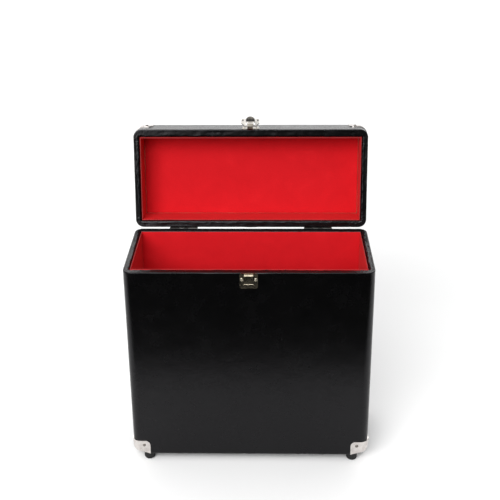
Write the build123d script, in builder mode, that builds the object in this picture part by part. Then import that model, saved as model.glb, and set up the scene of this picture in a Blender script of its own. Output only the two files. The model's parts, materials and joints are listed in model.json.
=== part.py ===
from build123d import *
import math
import os

# =====================================================================
# Record carrying case for 12-inch records, shown standing open.
# Millimetres.  +X to the right, +Y to the back, +Z up, floor at Z = 0.
# Everything is laid out about the middle of the case half, with the lid
# shut; the lid group is then swung open about its hinge pins, and the
# whole is moved so that the origin is under the middle of its outline.
# =====================================================================

# ---- overall sizes ----
case_w = 350.0            # outside width, over the leatherette
case_d = 150.0            # outside depth
case_h = 303.5            # height of the case half, underside to rim
lid_h = 50.4              # height of the lid half
foot_h = 12.0             # rubber foot height
edge_r = 12.0             # rounding of the upright edges
fold_r = 3.0              # rounding of the other outside edges
rim_gap = 0.4             # between the rims with the lid shut

# ---- wall build-up ----
skin_t = 0.8              # leatherette
board_t = 6.0             # bottom and top boards
side_board_t = 7.1
front_board_t = 9.8       # carries the latch
back_board_t = 8.2
turn_in = 18.0            # leatherette folded down inside the rim
rim_r = 1.6               # rounding of the covered rim
lining_gap = 0.7
lining_t = 1.4
lining_drop = 0.7         # lining stops this far below the rim
lining_clear = 0.2        # floor and top linings drop in with this clearance

# ---- corner caps ----
cap_t = 1.0
cap_reach = 26.0          # along the folded edges
cap_rise = 24.0           # up the walls
cap_round = 7.0

# ---- hinges ----
hinge_e = 1.6             # pin centre behind the back face
pin_drop = 1.0            # pin centre below the middle of the rim gap
lid_rest = 99.5           # the lid stands open at this angle
knuckle_r = 1.5
pin_r = 0.75
pin_fit = 0.05            # radial running clearance
leaf_t = 1.0
leaf_w = 42.0
leaf_h = 25.0
hinge_x = (-102.0, 102.0)
knuckles = ((-21.0, -7.2, "lid"), (-7.0, -0.2, "case"), (0.0, 6.8, "lid"), (7.0, 21.0, "case"))

# ---- latch: s is measured up from the rim line, o out from the front face ----
strike_w = 25.5
strike_h = 23.6
bill_w = 12.6
lever_w = 27.0
p1_s, p1_o = 4.5, 4.9     # lever pivot
p2_s, p2_o = 11.0, 4.2    # claw pivot, lever shut
claw_w = 13.0
lever_swing = 90.0        # lever stands square to the wall when undone
claw_swing = 73.0         # claw turns this much on the lever meanwhile

# ---- handle, on top of the lid ----
handle_x = 62.0
handle_pivot_h = 8.0
handle_reach = 33.0
handle_pin_r = 1.8

# the origin is moved this far back, to the middle of the open outline
origin_y = 37.082

# ---- derived ----
z_under = foot_h
z_rim = foot_h + case_h
z_lid_rim = z_rim + rim_gap
z_lid_top = z_lid_rim + lid_h
front_y = -case_d / 2
back_y = case_d / 2
hinge_y = back_y + hinge_e
hinge_z = z_rim + rim_gap / 2 - pin_drop
hinge_axis = Axis((0, hinge_y, hinge_z), (1, 0, 0))
wall = skin_t + board_t                     # inner face of the bottom and top boards, from outside
wall_s = skin_t + side_board_t
wall_f = skin_t + front_board_t
wall_b = skin_t + back_board_t
lining_out = skin_t + lining_gap            # from a board's inner face
lining_in = lining_out + lining_t
lever_axis = Axis((0, front_y - p1_o, z_rim + p1_s), (1, 0, 0))
claw_axis = Axis((0, front_y - p2_o, z_rim + p2_s), (1, 0, 0))
handle_axis = Axis((0, 0, z_lid_top + handle_pivot_h), (1, 0, 0))
fit = 0.05

os.makedirs("parts", exist_ok=True)


# ---------------------------------------------------------------------
# shared shapes
# ---------------------------------------------------------------------
def corner_waste(grow, end_z, up):
    """What the ball corner takes off the (-X, -Y) corner of one half."""
    x0, y0 = -case_w / 2, -case_d / 2
    far = cap_reach
    deep = 40.0
    r_ball, r_end = edge_r + grow, fold_r + grow

    def quadrant(plane, a0, r):
        with BuildSketch(plane) as q:
            with BuildLine():
                zc = end_z - up * grow
                l1 = Line((a0 - grow + r, zc), (a0 + deep, zc))
                l2 = Line(l1 @ 1, (a0 + deep, end_z + up * deep))
                l3 = Line(l2 @ 1, (a0 - grow, end_z + up * deep))
                l4 = Line(l3 @ 1, (a0 - grow, zc + up * r))
                c = (a0 - grow + r, zc + up * r)
                m = (c[0] - r * math.sqrt(0.5), c[1] - up * r * math.sqrt(0.5))
                ThreePointArc(l4 @ 1, m, l1 @ 0)
            make_face()
        return q.sketch

    qx0 = quadrant(Plane.YZ.offset(x0 + edge_r), y0, r_ball)
    qx1 = quadrant(Plane.YZ.offset(x0 + far), y0, r_end)
    qy0 = quadrant(Plane.XZ.offset(-(y0 + edge_r)), x0, r_ball)
    qy1 = quadrant(Plane.XZ.offset(-(y0 + far)), x0, r_end)
    with BuildPart() as waste:
        with BuildSketch(Plane.XY.offset(end_z - up * 5)):
            with Locations((x0 - 5, y0 - 5)):
                Rectangle(far + 5, far + 5, align=(Align.MIN, Align.MIN))
        extrude(amount=up * (5 + edge_r))
        loft([qx0.face(), qx1.face()], mode=Mode.SUBTRACT)
        loft([qy0.face(), qy1.face()], mode=Mode.SUBTRACT)
        with Locations((x0 + edge_r, y0 + edge_r, end_z + up * edge_r)):
            Sphere(r_ball, mode=Mode.SUBTRACT)
    return waste.part


def slab(x0, x1, y0, y1, z0, z1):
    """Plain block between two corners."""
    with BuildPart() as blk:
        with BuildSketch(Plane.XY.offset(z0)):
            with Locations(((x0 + x1) / 2, (y0 + y1) / 2)):
                Rectangle(x1 - x0, y1 - y0)
        extrude(amount=z1 - z0)
    return blk.part


def half_form(grow, end_z, up, depth, rim_round=0.0):
    """Outside of one half, grown by `grow`; up=1 stands on end_z, up=-1 hangs from it."""
    waste = corner_waste(grow, end_z, up)
    z_a, z_b = sorted((end_z - up * 10, end_z + up * (depth + 10)))
    quarter_zone = slab(-case_w, 0, -case_d, 0, z_a, z_b)
    with BuildPart() as quarter:
        with BuildSketch(Plane.XY.offset(end_z - up * grow)):
            RectangleRounded(case_w + 2 * grow, case_d + 2 * grow, edge_r + grow)
        extrude(amount=up * (depth + grow))
        fillet(quarter.faces().sort_by(Axis.Z)[0 if up > 0 else -1].edges(), fold_r + grow)
        if rim_round:
            fillet(quarter.faces().sort_by(Axis.Z)[-1 if up > 0 else 0].edges(), rim_round)
        add(quarter_zone, mode=Mode.INTERSECT)
        add(waste, mode=Mode.SUBTRACT)
    with BuildPart() as half:
        add(quarter.part)
        mirror(about=Plane.YZ)
    with BuildPart() as form:
        add(half.part)
        mirror(about=Plane.XZ)
    return form.part


def hollow(inset):
    """Middle and size of the space inside the upright boards, pulled in by `inset`."""
    y0 = front_y + wall_f + inset
    y1 = back_y - wall_b - inset
    return (0, (y0 + y1) / 2), case_w - 2 * (wall_s + inset), y1 - y0


def board_ring(end_z, up, depth):
    """The four upright boards of one half as one frame, rim edges eased."""
    mid, w, d = hollow(0)
    outer = half_form(-skin_t, end_z, up, depth - skin_t, rim_r - skin_t)
    z_in = end_z + up * wall
    z_far = end_z + up * (depth + 10)
    with BuildPart() as ring:
        add(outer)
        with BuildSketch(Plane.XY.offset(z_in)):
            with Locations(mid):
                Rectangle(w, d)
        extrude(amount=up * (depth + 10), mode=Mode.SUBTRACT)
        rim = ring.faces().sort_by(Axis.Z)[-1 if up > 0 else 0]
        fillet(rim.inner_wires()[0].edges(), rim_r - skin_t)
    return ring.part


def skin_solid(end_z, up, depth, ring):
    """Leatherette of one half, folded over the rim and down inside it."""
    low = half_form(-skin_t, end_z, up, depth - turn_in)
    full = half_form(0, end_z, up, depth, rim_r)
    mid, w, d = hollow(skin_t)
    with BuildPart() as skin:
        add(full)
        add(low, mode=Mode.SUBTRACT)
        add(ring, mode=Mode.SUBTRACT)
        with BuildSketch(Plane.XY.offset(end_z + up * (depth - turn_in))):
            with Locations(mid):
                RectangleRounded(w, d, 1.0)
        extrude(amount=up * (turn_in + 5), mode=Mode.SUBTRACT)
        rim = skin.faces().sort_by(Axis.Z)[-1 if up > 0 else 0]
        fillet(rim.inner_wires()[0].edges(), rim_r)
    return skin.part


def out_plane(x, y, z, nx, ny, nz):
    """Seat plane of a fastener, normal pointing out of the surface."""
    xd = (1, 0, 0) if abs(nx) < 0.5 else (0, 1, 0)
    return Plane(origin=(x, y, z), x_dir=xd, z_dir=(nx, ny, nz))


def screws(places, head_r, head_h, shank_r, length, cross):
    """Round-head screws, or nails and rivets when cross is 0."""
    with BuildPart() as grp:
        for p in places:
            side = Plane(origin=p.origin, x_dir=p.x_dir, z_dir=-p.y_dir)
            with BuildSketch(side):
                with BuildLine():
                    pts = [(0, head_h), (0, -length), (shank_r * 0.5, -length),
                           (shank_r, -length + shank_r), (shank_r, 0), (head_r, 0),
                           (head_r, head_h * 0.3)]
                    Polyline(*pts)
                    ThreePointArc((head_r, head_h * 0.3), (head_r * 0.74, head_h * 0.8), (head_r * 0.3, head_h))
                    Line((head_r * 0.3, head_h), (0, head_h))
                make_face()
            revolve(axis=Axis(p.origin, p.z_dir))
            if cross:
                with BuildSketch(p.offset(head_h + 0.2)):
                    Rectangle(cross * head_r, head_r * 0.26)
                    Rectangle(head_r * 0.26, cross * head_r)
                extrude(amount=-(0.2 + head_h * 0.55), mode=Mode.SUBTRACT)
    return grp.part


def bores(places, r, up_by, down_by):
    """Clearance drillings for a set of fasteners."""
    with BuildPart() as grp:
        for p in places:
            with BuildSketch(p.offset(up_by)):
                Circle(r)
            extrude(amount=-(up_by + down_by))
    return grp.part


def save(solid, name):
    solid.label = name
    export_step(solid, "parts/" + name + ".step")
    bb = solid.bounding_box()
    extents.append((name, bb))


extents = []


def place(part):
    """Case half: only moved to the shared origin."""
    return part.translate((0, -origin_y, 0))


def place_lid(part):
    """Lid half: swung open about the hinge pins, then moved."""
    return part.rotate(hinge_axis, -lid_rest).translate((0, -origin_y, 0))


# ---------------------------------------------------------------------
# fastener positions
# ---------------------------------------------------------------------
SX = (-1, 1)
case_nails, lid_nails = [], []
for sx in SX:
    for sy in SX:
        x_out, y_out = case_w / 2 + cap_t, case_d / 2 + cap_t
        for nails, z_end, up in ((case_nails, z_under, 1), (lid_nails, z_lid_top, -1)):
            nails.append(out_plane(sx * (case_w / 2 - 17), sy * y_out, z_end + up * 17, 0, sy, 0))
            nails.append(out_plane(sx * x_out, sy * (case_d / 2 - 17), z_end + up * 17, sx, 0, 0))
            nails.append(out_plane(sx * (case_w / 2 - 13), sy * (case_d / 2 - 20), z_end - up * cap_t, 0, 0, -up))

foot_xy = [(sx * 152.0, sy * (case_d / 2 - 10.5)) for sy in SX for sx in SX]
foot_seats = [out_plane(x, y, foot_h - 7.5, 0, 0, -1) for x, y in foot_xy]
strike_seats = [out_plane(sx * 9.8, front_y - 1.0, z_rim - 9.8, 0, -1, 0) for sx in SX]
latch_seats = [out_plane(sx * 10.6, front_y - 1.0, z_rim + 12.8, 0, -1, 0) for sx in SX]
hinge_case_seats, hinge_lid_seats = [], []
for hx in hinge_x:
    for dx, dz in ((-14, 9.0), (14, 9.0), (0, 18.0)):
        hinge_case_seats.append(out_plane(hx + dx, back_y + leaf_t, hinge_z - dz, 0, 1, 0))
        hinge_lid_seats.append(out_plane(hx + dx, back_y + leaf_t, hinge_z + dz, 0, 1, 0))
bracket_t = 1.5
handle_seats = [out_plane(sx * handle_x + dx, 0, z_lid_top + bracket_t, 0, 0, 1) for sx in SX for dx in (-9.5, 9.5)]

case_nail_bores = bores(case_nails, 0.8 + fit, 1.0, 6.2)
lid_nail_bores = bores(lid_nails, 0.8 + fit, 1.0, 6.2)
foot_bores = bores(foot_seats, 1.8 + fit, 1.0, 13.2)
strike_bores = bores(strike_seats, 1.4 + fit, 0.5, 6.7)
latch_bores = bores(latch_seats, 1.4 + fit, 0.5, 6.7)
hinge_case_bores = bores(hinge_case_seats, 1.4 + fit, 0.5, 6.7)
hinge_lid_bores = bores(hinge_lid_seats, 1.4 + fit, 0.5, 6.7)
handle_bores = bores(handle_seats, 1.6 + fit, 0.5, 7.2)

# ---------------------------------------------------------------------
# case half: boards
# ---------------------------------------------------------------------
case_form = half_form(-skin_t, z_under, 1, case_h - skin_t, rim_r - skin_t)
case_ring = board_ring(z_under, 1, case_h)
z_in = z_under + wall
w2, d2 = case_w / 2 + 5, case_d / 2 + 5
xi = case_w / 2 - wall_s
yif, yib = front_y + wall_f, back_y - wall_b

above_bottom = slab(-w2, w2, -d2, d2, z_in, z_rim + 5)
with BuildPart() as bottom_board:
    add(case_form)
    add(above_bottom, mode=Mode.SUBTRACT)
    add(case_nail_bores, mode=Mode.SUBTRACT)
    add(foot_bores, mode=Mode.SUBTRACT)
save(place(bottom_board.part), "bottom_board")

case_walls = [
    ("front_board", slab(-w2, w2, -d2, yif, z_in, z_rim + 5)),
    ("back_board", slab(-w2, w2, yib, d2, z_in, z_rim + 5)),
    ("left_board", slab(-w2, -xi, yif, yib, z_in, z_rim + 5)),
    ("right_board", slab(xi, w2, yif, yib, z_in, z_rim + 5)),
]
for wall_name, zone in case_walls:
    with BuildPart() as wall_board:
        add(case_ring)
        add(zone, mode=Mode.INTERSECT)
        add(case_nail_bores, mode=Mode.SUBTRACT)
        add(strike_bores, mode=Mode.SUBTRACT)
        add(hinge_case_bores, mode=Mode.SUBTRACT)
    save(place(wall_board.part), wall_name)

# ---------------------------------------------------------------------
# case half: leatherette skin
# ---------------------------------------------------------------------
case_skin = skin_solid(z_under, 1, case_h, case_ring)
with BuildPart() as case_leatherette:
    add(case_skin)
    add(case_nail_bores, mode=Mode.SUBTRACT)
    add(foot_bores, mode=Mode.SUBTRACT)
    add(strike_bores, mode=Mode.SUBTRACT)
    add(hinge_case_bores, mode=Mode.SUBTRACT)
save(place(case_leatherette.part), "case_leatherette")

# ---------------------------------------------------------------------
# case half: lining boards
# ---------------------------------------------------------------------
xo, xn = xi - lining_out, xi - lining_in
yfo, yfn = yif + lining_out, yif + lining_in
ybo, ybn = yib - lining_out, yib - lining_in
floor_mid, floor_w, floor_d = hollow(lining_in + lining_clear)
z_lt = z_rim - lining_drop


def lining_panel(x0, x1, y0, y1, z0, z1, rim_up):
    """One lining board, its rim edge rounded over."""
    body = slab(x0, x1, y0, y1, z0, z1)
    along = Axis.X if (x1 - x0) > (y1 - y0) else Axis.Y
    with BuildPart() as panel:
        add(body)
        edge_face = panel.faces().sort_by(Axis.Z)[-1 if rim_up > 0 else 0]
        fillet(edge_face.edges().filter_by(along), 0.5)
    return panel.part


with BuildPart() as lining_floor:
    with BuildSketch(Plane.XY.offset(z_in)):
        with Locations(floor_mid):
            Rectangle(floor_w, floor_d)
    extrude(amount=lining_t)
save(place(lining_floor.part), "lining_floor")
save(place(lining_panel(-xo, xo, yfo, yfn, z_in, z_lt, 1)), "lining_front")
save(place(lining_panel(-xo, xo, ybn, ybo, z_in, z_lt, 1)), "lining_back")
save(place(lining_panel(-xo, -xn, yfn, ybn, z_in, z_lt, 1)), "lining_left")
save(place(lining_panel(xn, xo, yfn, ybn, z_in, z_lt, 1)), "lining_right")

# ---------------------------------------------------------------------
# corner caps: nickel ball corners with three lobes
# ---------------------------------------------------------------------
def cap_zone(end_z, up):
    """Outline that the (-X, -Y) cap covers."""
    x0, y0 = -case_w / 2, -case_d / 2
    z_a, z_b = sorted((end_z - up * 3, end_z + up * cap_rise))
    block = slab(x0 - 3, x0 + cap_reach, y0 - 3, y0 + cap_reach, z_a, z_b)
    with BuildPart() as zone:
        add(block)
        z_edge = end_z + up * cap_rise
        e1 = zone.edges().filter_by(Axis.Y).filter_by(lambda e: abs(e.center().X - (x0 + cap_reach)) < 0.01 and abs(e.center().Z - z_edge) < 0.01)
        e2 = zone.edges().filter_by(Axis.X).filter_by(lambda e: abs(e.center().Y - (y0 + cap_reach)) < 0.01 and abs(e.center().Z - z_edge) < 0.01)
        e3 = zone.edges().filter_by(Axis.Z).filter_by(lambda e: abs(e.center().X - (x0 + cap_reach)) < 0.01 and abs(e.center().Y - (y0 + cap_reach)) < 0.01)
        fillet(e1 + e2 + e3, cap_round)
    return zone.part


def cap_shell(end_z, up, depth):
    zone = cap_zone(end_z, up)
    outer = half_form(cap_t, end_z, up, depth)
    inner = half_form(0, end_z, up, depth)
    with BuildPart() as shell:
        add(zone)
        add(outer, mode=Mode.INTERSECT)
        add(inner, mode=Mode.SUBTRACT)
    return shell.part


def four_caps(shell):
    m = mirror(shell, about=Plane.YZ)
    return {"front_left": shell, "front_right": m,
            "back_left": mirror(shell, about=Plane.XZ), "back_right": mirror(m, about=Plane.XZ)}


case_caps = four_caps(cap_shell(z_under, 1, 60.0))
for where, shell in case_caps.items():
    with BuildPart() as cap:
        add(shell)
        add(case_nail_bores, mode=Mode.SUBTRACT)
        add(foot_bores, mode=Mode.SUBTRACT)
    save(place(cap.part), "case_corner_" + where)

case_corner_nails = screws(case_nails, 2.3, 1.2, 0.8, 6.0, 0)
save(place(case_corner_nails), "case_corner_nails")

# ---------------------------------------------------------------------
# rubber feet, each notched over its corner cap, and their screws
# ---------------------------------------------------------------------
foot_names = ("foot_front_left", "foot_front_right", "foot_back_left", "foot_back_right")
caps_under = [case_caps[k] for k in ("front_left", "front_right", "back_left", "back_right")]
for (fx, fy), foot_name, seat, cap_part in zip(foot_xy, foot_names, foot_seats, caps_under):
    with BuildPart() as foot:
        with BuildSketch(Plane(origin=(fx, fy, 0), x_dir=(1, 0, 0), z_dir=(0, -1, 0))):
            with BuildLine():
                Polyline((3.9, 0), (5.2, 0))
                ThreePointArc((5.2, 0), (7.35, 1.6), (8.1, 4.6))
                Polyline((8.1, 4.6), (8.4, foot_h), (1.85, foot_h), (1.85, foot_h - 7.5), (3.9, foot_h - 7.5), (3.9, 0))
            make_face()
        revolve(axis=Axis((fx, fy, 0), (0, 0, 1)))
        add(cap_part, mode=Mode.SUBTRACT)
    save(place(foot.part), foot_name)

foot_screws = screws(foot_seats, 3.6, 2.2, 1.8, 13.0, 1.1)
save(place(foot_screws), "foot_screws")

# ---------------------------------------------------------------------
# strike plate: two screws and a bill turned out and down for the claw
# ---------------------------------------------------------------------
def so(s, o):
    """Latch coordinates to the side view (Y, Z)."""
    return (front_y - o, z_rim + s)


with BuildPart() as strike_plate:
    with BuildSketch(Plane.XZ.offset(-front_y)):
        with Locations((0, z_rim - 0.2 - strike_h / 2)):
            RectangleRounded(strike_w, strike_h, 3.4)
    extrude(amount=1.0)
    with BuildSketch(Plane.YZ.offset(-bill_w / 2)):
        with BuildLine() as bill_path:
            Line(so(-9.0, 0.5), so(-3.3, 0.5))
            ThreePointArc(so(-3.3, 0.5), so(-1.05, 2.75), so(-3.3, 5.0))
            Line(so(-3.3, 5.0), so(-13.9, 5.0))
            a = math.radians(35)
            b = math.radians(17.5)
            ThreePointArc(so(-13.9, 5.0),
                          so(-13.9 - 2.5 * math.sin(b), 7.5 - 2.5 * math.cos(b)),
                          so(-13.9 - 2.5 * math.sin(a), 7.5 - 2.5 * math.cos(a)))
        trace(line_width=1.0)
    extrude(amount=bill_w)
    add(strike_bores, mode=Mode.SUBTRACT)
save(place(strike_plate.part), "strike_plate")

strike_screws = screws(strike_seats, 2.4, 1.3, 1.4, 6.5, 1.3)
save(place(strike_screws), "strike_screws")

# ---------------------------------------------------------------------
# hinges: loose leaves on the back, rolled knuckles, one pin each
# ---------------------------------------------------------------------
def hinge_leaf(hx, kind):
    """kind 'case' hangs below the pin and carries the stop tongue; 'lid' stands above it."""
    d = -1 if kind == "case" else 1
    zc = hinge_z
    own = [(k0, k1) for k0, k1, owner in knuckles if owner == kind]
    z_a, z_b = sorted((zc + d * 0.6, zc + d * 5.0))
    webs = [slab(hx + k0, hx + k1, back_y, back_y + leaf_t, z_a, z_b) for k0, k1 in own]
    with BuildPart() as leaf:
        with BuildSketch(Plane.XZ.offset(-back_y)):
            with Locations((hx, zc + d * (2.6 + leaf_h) / 2)):
                RectangleRounded(leaf_w, leaf_h - 2.6, 1.0)
        extrude(amount=-leaf_t)
        for (k0, k1), web in zip(own, webs):
            add(web)
            with BuildSketch(Plane.YZ.offset(hx + k0)):
                with Locations((hinge_y, zc)):
                    Circle(knuckle_r)
            extrude(amount=k1 - k0)
        if kind == "case":
            # stop tongue: the lid leaf comes to rest on its upturned end
            t = math.radians(lid_rest - 90)
            top = lambda y: (hinge_e - leaf_t - math.sin(t) * y) / math.cos(t) - 0.03
            with BuildSketch(Plane.YZ.offset(hx - 4)):
                with BuildLine():
                    Polyline((back_y + 0.5, zc - 3.9), (hinge_y + 12.2, zc - 3.9),
                             (hinge_y + 12.2, zc + top(12.2)), (hinge_y + 11.0, zc + top(11.0)),
                             (hinge_y + 11.0, zc - 2.8), (back_y + 0.5, zc - 2.8), close=True)
                make_face()
            extrude(amount=8)
        with BuildSketch(Plane.YZ.offset(hx - leaf_w / 2 - 1)):
            with Locations((hinge_y, zc)):
                Circle(pin_r + pin_fit)
        extrude(amount=leaf_w + 2, mode=Mode.SUBTRACT)
        add(hinge_case_bores if kind == "case" else hinge_lid_bores, mode=Mode.SUBTRACT)
    return leaf.part


for side, hx in zip(("left", "right"), hinge_x):
    save(place(hinge_leaf(hx, "case")), "hinge_" + side + "_case_leaf")
    save(place_lid(hinge_leaf(hx, "lid")), "hinge_" + side + "_lid_leaf")
    with BuildPart() as hinge_pin:
        with BuildSketch(Plane.YZ.offset(hx - leaf_w / 2 - 0.4)):
            with Locations((hinge_y, hinge_z)):
                Circle(pin_r)
        extrude(amount=leaf_w + 0.8)
        chamfer(hinge_pin.edges().filter_by(GeomType.CIRCLE), 0.25)
    save(place(hinge_pin.part), "hinge_" + side + "_pin")

hinge_case_screws = screws(hinge_case_seats, 2.3, 1.1, 1.4, 6.5, 1.3)
save(place(hinge_case_screws), "hinge_case_screws")
hinge_lid_screws = screws(hinge_lid_seats, 2.3, 1.1, 1.4, 6.5, 1.3)
save(place_lid(hinge_lid_screws), "hinge_lid_screws")

# ---------------------------------------------------------------------
# lid half: boards, leatherette, lining, caps
# ---------------------------------------------------------------------
lid_form = half_form(-skin_t, z_lid_top, -1, lid_h - skin_t, rim_r - skin_t)
lid_ring = board_ring(z_lid_top, -1, lid_h)
z_lin = z_lid_top - wall

below_top = slab(-w2, w2, -d2, d2, z_lid_rim - 5, z_lin)
with BuildPart() as lid_top_board:
    add(lid_form)
    add(below_top, mode=Mode.SUBTRACT)
    add(lid_nail_bores, mode=Mode.SUBTRACT)
    add(handle_bores, mode=Mode.SUBTRACT)
save(place_lid(lid_top_board.part), "lid_top_board")

lid_walls = [
    ("lid_front_board", slab(-w2, w2, -d2, yif, z_lid_rim - 5, z_lin)),
    ("lid_back_board", slab(-w2, w2, yib, d2, z_lid_rim - 5, z_lin)),
    ("lid_left_board", slab(-w2, -xi, yif, yib, z_lid_rim - 5, z_lin)),
    ("lid_right_board", slab(xi, w2, yif, yib, z_lid_rim - 5, z_lin)),
]
for wall_name, zone in lid_walls:
    with BuildPart() as wall_board:
        add(lid_ring)
        add(zone, mode=Mode.INTERSECT)
        add(lid_nail_bores, mode=Mode.SUBTRACT)
        add(latch_bores, mode=Mode.SUBTRACT)
        add(hinge_lid_bores, mode=Mode.SUBTRACT)
    save(place_lid(wall_board.part), wall_name)

lid_skin = skin_solid(z_lid_top, -1, lid_h, lid_ring)
with BuildPart() as lid_leatherette:
    add(lid_skin)
    add(lid_nail_bores, mode=Mode.SUBTRACT)
    add(latch_bores, mode=Mode.SUBTRACT)
    add(hinge_lid_bores, mode=Mode.SUBTRACT)
    add(handle_bores, mode=Mode.SUBTRACT)
save(place_lid(lid_leatherette.part), "lid_leatherette")

z_ll = z_lin - lining_t
z_lb = z_lid_rim + lining_drop
with BuildPart() as lid_lining_top:
    with BuildSketch(Plane.XY.offset(z_ll)):
        with Locations(floor_mid):
            Rectangle(floor_w, floor_d)
    extrude(amount=lining_t)
save(place_lid(lid_lining_top.part), "lid_lining_top")
save(place_lid(lining_panel(-xo, xo, yfo, yfn, z_lb, z_lin, -1)), "lid_lining_front")
save(place_lid(lining_panel(-xo, xo, ybn, ybo, z_lb, z_lin, -1)), "lid_lining_back")
save(place_lid(lining_panel(-xo, -xn, yfn, ybn, z_lb, z_lin, -1)), "lid_lining_left")
save(place_lid(lining_panel(xn, xo, yfn, ybn, z_lb, z_lin, -1)), "lid_lining_right")

lid_caps = four_caps(cap_shell(z_lid_top, -1, 45.0))
for where, shell in lid_caps.items():
    with BuildPart() as cap:
        add(shell)
        add(lid_nail_bores, mode=Mode.SUBTRACT)
    save(place_lid(cap.part), "lid_corner_" + where)

lid_corner_nails = screws(lid_nails, 2.3, 1.2, 0.8, 6.0, 0)
save(place_lid(lid_corner_nails), "lid_corner_nails")

# ---------------------------------------------------------------------
# latch on the lid's front wall: base with two ears, lever, claw
# ---------------------------------------------------------------------
with BuildPart() as latch_base:
    with BuildSketch(Plane.XZ.offset(-front_y)):
        with Locations((0, z_rim + (1.4 + 19.8) / 2)):
            RectangleRounded(26.0, 19.8 - 1.4, 2.6)
    extrude(amount=1.0)
    for ex in (-8.8, 8.8):
        with BuildSketch(Plane.YZ.offset(ex - 0.5)):
            with BuildLine():
                Polyline(so(p1_s + 1.9, p1_o), so(p1_s + 1.9, 0.5), so(p1_s - 1.9, 0.5), so(p1_s - 1.9, p1_o))
                ThreePointArc(so(p1_s - 1.9, p1_o), so(p1_s, p1_o + 1.9), so(p1_s + 1.9, p1_o))
            make_face()
        extrude(amount=1.0)
    with BuildSketch(Plane.YZ.offset(-15)):
        with Locations(so(p1_s, p1_o)):
            Circle(1.0 + pin_fit)
    extrude(amount=30, mode=Mode.SUBTRACT)
    add(latch_bores, mode=Mode.SUBTRACT)
save(place_lid(latch_base.part), "latch_base")

latch_rivets = screws(latch_seats, 2.2, 1.1, 1.4, 6.5, 0)
save(place_lid(latch_rivets), "latch_rivets")


def riveted_pin(s, o, half, head_r):
    """Pin across the latch with a small head each end."""
    with BuildPart() as pin:
        with BuildSketch(Plane.YZ.offset(-half)):
            with Locations(so(s, o)):
                Circle(1.0)
        extrude(amount=2 * half)
        for x0 in (-half - 0.6, half):
            with BuildSketch(Plane.YZ.offset(x0)):
                with Locations(so(s, o)):
                    Circle(head_r)
            extrude(amount=0.6)
    return pin.part


save(place_lid(riveted_pin(p1_s, p1_o, 9.35, 1.6)), "latch_pin")


def place_lever(part):
    return place_lid(part.rotate(lever_axis, lever_swing))


def place_claw(part):
    return place_lever(part.rotate(claw_axis, -claw_swing))


face_o = 7.7
wing_top = 15.6
with BuildPart() as latch_lever:
    # face with a window for the claw, and a domed thumb tab curling outwards
    with BuildSketch(Plane.XZ.offset(-(front_y - face_o))):
        with BuildLine():
            hw, z_w = lever_w / 2, z_rim + wing_top
            Polyline((-7.0, z_rim + 4.6), (-9.4, z_rim + 4.6), (-hw, z_rim + 8.4), (-hw, z_w - 1.2), (-hw + 1.2, z_w),
                     (hw - 1.2, z_w), (hw, z_w - 1.2), (hw, z_rim + 8.4), (9.4, z_rim + 4.6), (7.0, z_rim + 4.6), close=True)
        make_face()
        with Locations((0, z_rim + (-1.0 + wing_top - 2.2) / 2)):
            Rectangle(14.0, wing_top - 2.2 + 1.0, mode=Mode.SUBTRACT)
        with Locations((-11.0, z_w - 2.3), (11.0, z_w - 2.3)):
            Circle(0.9, mode=Mode.SUBTRACT)
    extrude(amount=1.0)
    for fx in (-7.5, 7.5):
        with BuildSketch(Plane.YZ.offset(fx - 0.5)):
            with Locations(so(p1_s, p1_o), so(p2_s, p2_o)):
                Circle(2.2)
            with BuildLine():
                Polyline(so(p1_s - 2.2, p1_o), so(p1_s - 1.6, face_o + 0.3), so(14.4, face_o + 0.3),
                         so(14.4, 6.0), so(p2_s + 2.2, p2_o), so(p2_s, p2_o - 1.0), so(p1_s, p1_o - 1.0), close=True)
            make_face()
        extrude(amount=1.0)
    with BuildSketch(Plane.YZ.offset(-15)):
        with Locations(so(p1_s, p1_o), so(p2_s, p2_o)):
            Circle(1.0 + pin_fit)
    extrude(amount=30, mode=Mode.SUBTRACT)
with BuildPart() as thumb_tab:
    with BuildSketch(Plane.YZ.offset(-6.0)):
        with BuildLine():
            Line(so(wing_top - 1.8, face_o + 0.5), so(wing_top - 0.2, face_o + 0.5))
            c = math.radians(20)
            e = math.radians(40)
            tab = wing_top - 0.2
            ThreePointArc(so(tab, face_o + 0.5),
                          so(tab + 5.6 * math.sin(c), face_o + 0.5 + 5.6 * (1 - math.cos(c))),
                          so(tab + 5.6 * math.sin(e), face_o + 0.5 + 5.6 * (1 - math.cos(e))))
        trace(line_width=1.0)
    extrude(amount=12.0)
    with BuildSketch(Plane.XZ.offset(-(front_y))):
        with BuildLine():
            Polyline((-6, z_w), (-6, z_w - 2.2), (6, z_w - 2.2), (6, z_w))
            ThreePointArc((6, z_w), (0, z_w + 3.5), (-6, z_w))
        make_face()
    extrude(amount=20, mode=Mode.INTERSECT)
with BuildPart() as latch_lever_whole:
    add(latch_lever.part)
    add(thumb_tab.part)
save(place_lever(latch_lever_whole.part), "latch_lever")
save(place_lever(riveted_pin(p2_s, p2_o, 8.05, 1.5)), "latch_claw_pin")

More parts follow.
